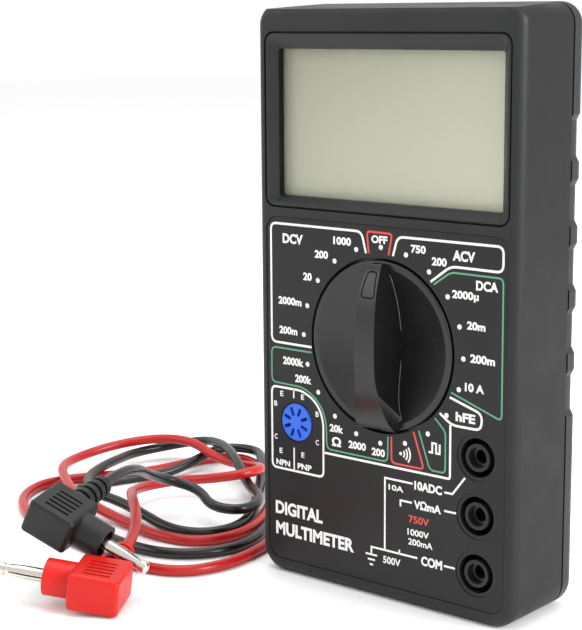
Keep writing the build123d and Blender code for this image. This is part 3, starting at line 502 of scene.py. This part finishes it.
finishes = {
    "front_case": case_plastic,
    "rear_case": shell_plastic,
    "label_overlay": label_foil,
    "lcd_bezel": bezel_plastic,
    "lcd_window": clear("window", (0.9, 0.92, 0.88), 0.05, 0.04, 0.09, 40.0, 4.0),
    "lcd_glass": display_material(),
    "lcd_reflector": moulded("reflector", (0.55, 0.56, 0.45), 0.35, 900.0, 0.1),
    "lcd_holder": holder_plastic,
    "zebra_strip": banded("zebra_rubber", (0.3, 0.3, 0.32), (0.03, 0.03, 0.03), 0.5 * MM),
    "selector_knob": knob_plastic,
    "detent_balls": steel,
    "detent_springs": steel,
    "wiper_contacts": brass,
    "circuit_board": board_material(),
    "transistor_socket": socket_plastic,
    "socket_contacts": nickel,
    "fuse_glass": clear("fuse_tube", (0.85, 0.9, 0.88), 0.3, 0.03, 0.08, 200.0),
    "fuse_wire": copper,
    "fuse_caps": nickel,
    "fuse_clips": nickel,
    "shunt_wire": copper,
    "buzzer": dark_parts,
    "chip_blob": moulded("epoxy", (0.012, 0.012, 0.013), 0.25, 300.0, 0.3, coat=0.3),
    "film_capacitors": moulded("dipped_film", (0.5, 0.09, 0.03), 0.3, 500.0, 0.2, coat=0.4),
    "electrolytic_capacitors": banded("sleeve", (0.02, 0.03, 0.1), (0.6, 0.6, 0.6), 6 * MM),
    "resistors": banded("lacquer", (0.2, 0.36, 0.5), (0.35, 0.12, 0.03), 1.3 * MM),
    "diodes": banded("diode_body", (0.02, 0.02, 0.02), (0.55, 0.55, 0.55), 6.5 * MM),
    "trimmer": moulded("trimmer_body", (0.05, 0.16, 0.5), 0.4),
    "transistors": dark_parts,
    "battery": banded("battery_foil", (0.03, 0.03, 0.035), (0.45, 0.36, 0.1), 40 * MM),
    "battery_terminals": nickel,
    "battery_snap": black_plastic,
    "battery_wire_red": red_plastic,
    "battery_wire_black": black_plastic,
    "foam_pad": moulded("foam", (0.05, 0.05, 0.052), 0.9, 900.0, 1.0),
    "board_screws": nickel,
    "case_screws": nickel,
}
# the jacks' dark nickel paints the shade inside the socket holes
for name in JACKS:
    finishes[name] = nickel_with_painted_shade
for colour, plastic in (("black", black_plastic), ("red", red_plastic)):
    finishes[f"plug_body_{colour}"] = plastic
    finishes[f"probe_handle_{colour}"] = plastic
    finishes[f"plug_pin_{colour}"] = nickel
    finishes[f"plug_lantern_{colour}"] = nickel
    finishes[f"probe_tip_{colour}"] = nickel

for name, material in finishes.items():
    node = nodes[name]
    node.data.materials.clear()
    node.data.materials.append(material)

# ---------------------------------------------------------------- the printed panel, in millimetres
PRINT_Y = LABEL_Y - 0.03 * MM
FRAME_LINE = 0.68
LEADER_LINE = 0.58
GROUND_LINE = 0.55
SIGN_LINE = 0.6
FINE_LINE = 0.5
POINTER_LINE = 0.4
DOT_RADIUS = 0.72
DOT_RING = 28.0
dial = (DIAL.x / MM, DIAL.z / MM)


def dial_point(position, radius):
    """Point on the dial's scale: positions are counted clockwise from the top."""
    angle = 2 * pi * position / POSITIONS
    return dial[0] + radius * sin(angle), dial[1] + radius * cos(angle)


def add_white_print(material):
    """White frames, figures, dots and leader lines."""
    form = bmesh.new()
    frames = [
        [(-5.2, 99.9), (-6.8, 105.9), (-40.3, 105.9), (-40.3, 70.6), (-25.1, 70.6)],
        [(4.2, 99.9), (5.8, 105.4), (40.3, 105.5), (40.3, 98.7), (23.6, 98.8), (17.0, 94.0)],
        [(23.7, 62.8), (34.3, 59.6), (34.0, 55.1), (24.4, 55.1), (20.4, 57.9)],
    ]
    for points in frames:
        stroke(form, rounded(points, 2.0), FRAME_LINE, PRINT_Y)
    # the frame round the lower scales, and the transistor socket's own frame
    stroke(form, rounded([(24.0, 55.1), (24.0, 39.8), (-20.8, 39.8)], 0.8), FRAME_LINE, PRINT_Y)
    socket_frame = [(-40.5, 32.3), (-40.5, 57.1), (-29.0, 57.1), (-25.0, 55.4), (-22.2, 52.7),
                    (-20.8, 48.8), (-20.8, 32.3)]
    stroke(form, rounded(socket_frame, 1.8, closed=True), FRAME_LINE, PRINT_Y, closed=True)
    for low, high in ((54.4, 57.2), (32.5, 39.4)):
        stroke(form, [(-32.0, low), (-32.0, high)], FINE_LINE, PRINT_Y)
    # dots round the dial
    for position in range(POSITIONS):
        disc(form, dial_point(position, DOT_RING), DOT_RADIUS, PRINT_Y)
    # leader lines to the input sockets
    for points in (
            [(22.2, 35.7), (24.9, 35.7), (29.0, 41.0)],
            [(1.7, 15.0), (1.7, 36.2), (11.4, 36.2)],
            [(22.2, 30.4), (26.2, 30.4)],
            [(7.2, 28.8), (7.2, 30.6), (11.2, 30.6)],
            [(22.3, 14.5), (26.0, 14.5)],
            [(-3.1, 12.9), (-3.1, 14.8), (13.2, 14.8)],
            [(6.9, 14.8), (6.9, 16.0)]):
        stroke(form, points, LEADER_LINE, PRINT_Y)
    for row, half in enumerate((2.1, 1.3, 0.6)):
        level = 12.5 - 1.5 * row
        stroke(form, [(-3.1 - half, level), (-3.1 + half, level)], GROUND_LINE, PRINT_Y)
    # figures: words, centre, width, height
    figures = [
        ("DCV", (-32.0, 101.7), 7.6, 2.9), ("1000", (-13.7, 102.6), 6.4, 2.3),
        ("200", (-21.3, 98.1), 4.9, 2.3), ("20", (-26.5, 91.2), 3.2, 2.3),
        ("2000m", (-33.2, 83.3), 8.8, 2.3), ("200m", (-33.9, 74.5), 6.9, 2.3),
        ("2000k", (-32.1, 65.4), 7.9, 2.4), ("200k", (-28.3, 60.6), 6.2, 2.4),
        ("OFF", (-0.5, 104.1), 5.6, 2.2), ("750", (12.8, 102.5), 5.0, 2.3),
        ("200", (19.8, 99.7), 4.9, 2.3), ("ACV", (27.8, 101.9), 7.2, 2.9),
        ("DCA", (35.3, 94.5), 7.0, 2.7), ("2000µ", (28.4, 91.2), 8.6, 2.7),
        ("20m", (32.0, 83.4), 5.9, 2.3), ("200m", (34.2, 74.5), 7.9, 2.4),
        ("10 A", (31.7, 66.4), 6.2, 2.4), ("hFE", (28.9, 57.8), 6.4, 2.6),
        ("20k", (-15.9, 47.7), 5.0, 2.3), ("Ω", (-15.9, 43.8), 3.4, 2.8),
        ("2000", (-8.3, 43.9), 6.3, 2.3), ("200", (-0.7, 43.2), 4.7, 2.3),
        ("10ADC", (16.7, 35.9), 9.4, 2.6), ("VΩmA", (16.5, 30.4), 9.3, 2.6),
        ("COM", (18.1, 14.4), 7.2, 2.8),
        ("DIGITAL", (-30.3, 20.0), 18.2, 4.1), ("MULTIMETER", (-24.4, 13.6), 29.8, 4.1),
    ]
    for words, centre, width, height in figures:
        lettering(form, words, centre, width, height, PRINT_Y)
    for words, centre in (("NPN", (-36.3, 34.1)), ("PNP", (-28.0, 34.1))):
        lettering(form, words, centre, 5.4, 1.8, PRINT_Y)
    small_letters = [("E", (-36.6, 55.2)), ("E", (-28.6, 55.2)), ("B", (-39.0, 51.9)),
                     ("B", (-23.1, 50.9)), ("C", (-39.0, 41.8)), ("C", (-23.1, 42.4)),
                     ("E", (-37.1, 37.7)), ("E", (-28.6, 37.7))]
    for letter, centre in small_letters:
        lettering(form, letter, centre, 1.2, 1.6, PRINT_Y, FINE)
    lettering(form, "10A", (5.6, 33.8), 5.2, 1.7, PRINT_Y, FINE)
    lettering(form, "1000V", (13.4, 22.0), 7.4, 1.9, PRINT_Y, FINE)
    lettering(form, "200mA", (14.2, 19.2), 8.4, 1.9, PRINT_Y, FINE)
    lettering(form, "500V", (4.2, 12.0), 6.2, 2.2, PRINT_Y, FINE)
    # the continuity beeper's and the square wave's signs
    disc(form, (7.2, 44.2), 0.5, PRINT_Y)
    for radius in (1.5, 2.5, 3.5):
        stroke(form, arc((7.0, 44.2), radius, -38, 38, 8), FINE_LINE, PRINT_Y)
    square_wave = [(16.8, 46.3), (18.0, 46.3), (18.0, 49.0), (19.3, 49.0), (19.3, 46.3),
                   (20.5, 46.3), (20.5, 49.0)]
    stroke(form, square_wave, SIGN_LINE, PRINT_Y)
    face_front(form)
    new_piece("print_white", mesh_from("print_white", form), material)


def add_green_print(material):
    """Green frames round the current, resistance and square-wave positions."""
    form = bmesh.new()
    current = [(18.0, 93.3), (23.6, 97.2), (40.4, 97.1), (40.5, 58.7), (24.1, 64.2)]
    resistance = [(-25.1, 69.0), (-40.4, 69.0), (-40.4, 58.4), (-28.7, 58.2), (-24.4, 56.2),
                  (-21.1, 52.8), (-19.7, 48.6), (-19.5, 41.1), (2.6, 41.0), (2.7, 48.4)]
    square_wave = [(13.4, 51.8), (17.2, 41.2), (22.4, 41.1), (22.4, 52.9), (18.8, 56.2)]
    for points, corner in ((current, 1.6), (resistance, 1.8), (square_wave, 1.4)):
        stroke(form, rounded(points, corner), FINE_LINE, PRINT_Y)
    face_front(form)
    new_piece("print_green", mesh_from("print_green", form), material)


def add_red_print(material):
    """Red frames round the off and beeper positions, and one red figure."""
    form = bmesh.new()
    off = [(-4.2, 100.0), (-4.9, 106.1), (3.9, 106.0), (2.7, 100.0)]
    beeper = [(3.9, 48.5), (4.0, 41.0), (15.2, 41.0), (11.6, 51.2)]
    for points, corner in ((off, 1.2), (beeper, 1.4)):
        stroke(form, rounded(points, corner), SIGN_LINE, PRINT_Y)
    lettering(form, "750V", (13.6, 25.8), 7.0, 2.2, PRINT_Y, FINE)
    face_front(form)
    new_piece("print_red", mesh_from("print_red", form), material)


ARCH_HALF = 24.1 * MM        # half the length of the grip bar's arch
RIM_STAND = 0.1 * MM         # how far the knob's rim stands in front of the panel
MARK_STAND = 0.03 * MM       # how far the mark stands in front of the crest
ARCH_END = 0.999             # share of the arch beyond which its slope is too steep


def add_pointer_window(material):
    """Outlined pointer mark moulded near the tip of the grip bar, following its crest; its dark
    strip paints the shade of the moulded groove.
    """
    rim_y = PANEL_Y - RIM_STAND
    crest = rim_y - KNOB_FRONT
    form = bmesh.new()
    outline = rounded([(-2.3, 14.6), (2.3, 14.6), (1.5, 21.6), (-1.5, 21.6)], 1.1, closed=True)
    dense = []
    for index, point in enumerate(outline):
        following = outline[(index + 1) % len(outline)]
        for step in range(4):
            dense.append(point.lerp(following, step / 4))
    stroke(form, dense, POINTER_LINE, 0.0, closed=True)
    for vertex in form.verts:
        share = min(ARCH_END, vertex.co.z / ARCH_HALF)
        vertex.co.y = rim_y - crest * sqrt(1 - share ** 2) - MARK_STAND
        vertex.co.x += DIAL.x
        vertex.co.z += DIAL.z
    face_front(form)
    new_piece("pointer_mark", mesh_from("pointer_mark", form), material, "selector")


FILLET_RADIUS = 0.15 * MM
FOOT_STEP = 0.4 * MM         # height of the strips that give one point of the fillet each
DISH_REACH = 22.0 * MM
SHARP_FOOT = radians(20)     # least turn of a concave edge at the bar's foot
WELD = 0.001 * MM


def add_grip_fillet_highlights(material):
    """Glossy fillet on each side, where the grip bar's flank runs down into the dish, paler than
    the knob to paint the highlight along it.
    """
    knob = bmesh.new()
    knob.from_mesh(nodes["selector_knob"].data)
    knob.transform(nodes["selector_knob"].matrix_world)
    bmesh.ops.remove_doubles(knob, verts=knob.verts, dist=WELD)
    form = bmesh.new()
    for side in (-1, 1):
        foot = {}
        for edge in knob.edges:
            if len(edge.link_faces) != 2 or edge.calc_face_angle_signed() > -SHARP_FOOT:
                continue
            for vertex in edge.verts:
                out = vertex.co - DIAL
                if Vector((out.x, out.z)).length < DISH_REACH and side * out.x > 0:
                    foot[round(vertex.co.z / FOOT_STEP)] = vertex.co.copy()
        path = [foot[key] for key in sorted(foot)]
        if len(path) > 1:
            tube(form, path, FILLET_RADIUS)
    knob.free()
    bmesh.ops.recalc_face_normals(form, faces=form.faces)
    new_piece("grip_fillet_highlights", mesh_from("grip_fillet_highlights", form), material, "selector")


add_white_print(ink("white_ink", (0.86, 0.86, 0.84)))
add_green_print(ink("green_ink", (0.10, 0.33, 0.19)))
add_red_print(ink("red_ink", (0.66, 0.06, 0.05)))
# near-black strip: painted shade of the groove outlining the pointer
add_pointer_window(moulded("pointer_groove_shade", (0.002, 0.002, 0.002), 0.6, specular=0.1))
# pale colour: a painted highlight along the fillets
add_grip_fillet_highlights(moulded("fillet_painted_highlight", (0.11, 0.11, 0.115), 0.2, 900.0, 0.05))


# ---------------------------------------------------------------- floor and light
FLOOR_SIZE = 3.0
FLOOR_DROP = 0.05 * MM       # keeps the floor clear of the faces that stand on it
WORLD_STRENGTH = 1.02


def add_floor():
    """Plain pale floor."""
    material, tree, node = shader("floor", (0.94, 0.94, 0.94), 0.7)
    grain = map_range(tree, object_noise(tree, 25.0, 2.0), 0, 1)
    tree.links.new(mix_color(tree, grain, (0.93, 0.93, 0.93), (0.95, 0.95, 0.95)),
                   node.inputs["Base Color"])
    form = bmesh.new()
    bmesh.ops.create_grid(form, x_segments=1, y_segments=1, size=FLOOR_SIZE)
    mesh = mesh_from("floor", form)
    mesh.materials.append(material)
    floor = bpy.data.objects.new("floor", mesh)
    floor.location.z = -FLOOR_DROP
    bpy.context.scene.collection.objects.link(floor)


def add_softbox(name, place, target, size, power):
    """Square area light aimed at a point; size in metres, power in watts."""
    data = bpy.data.lights.new(name, "AREA")
    data.size = size
    data.energy = power
    light = bpy.data.objects.new(name, data)
    light.location = place
    light.rotation_euler = (Vector(target) - Vector(place)).to_track_quat("-Z", "Y").to_euler()
    bpy.context.scene.collection.objects.link(light)


def add_world():
    """Even white surroundings."""
    world = bpy.data.worlds.new("studio")
    world.use_nodes = True
    background = world.node_tree.nodes["Background"]
    background.inputs["Color"].default_value = (1.0, 1.0, 1.0, 1.0)
    background.inputs["Strength"].default_value = WORLD_STRENGTH
    bpy.context.scene.world = world
    bpy.context.scene.view_settings.view_transform = "Standard"


add_floor()
add_world()
middle = (0.0, 0.0, case_high.z / 2)
add_softbox("overhead", (-0.15, 0.1, 1.1), middle, 0.9, 6.0)
add_softbox("left", (-0.9, -0.9, 0.7), middle, 0.8, 3.0)
add_softbox("right", (1.1, 0.15, 0.5), middle, 0.7, 16.0)
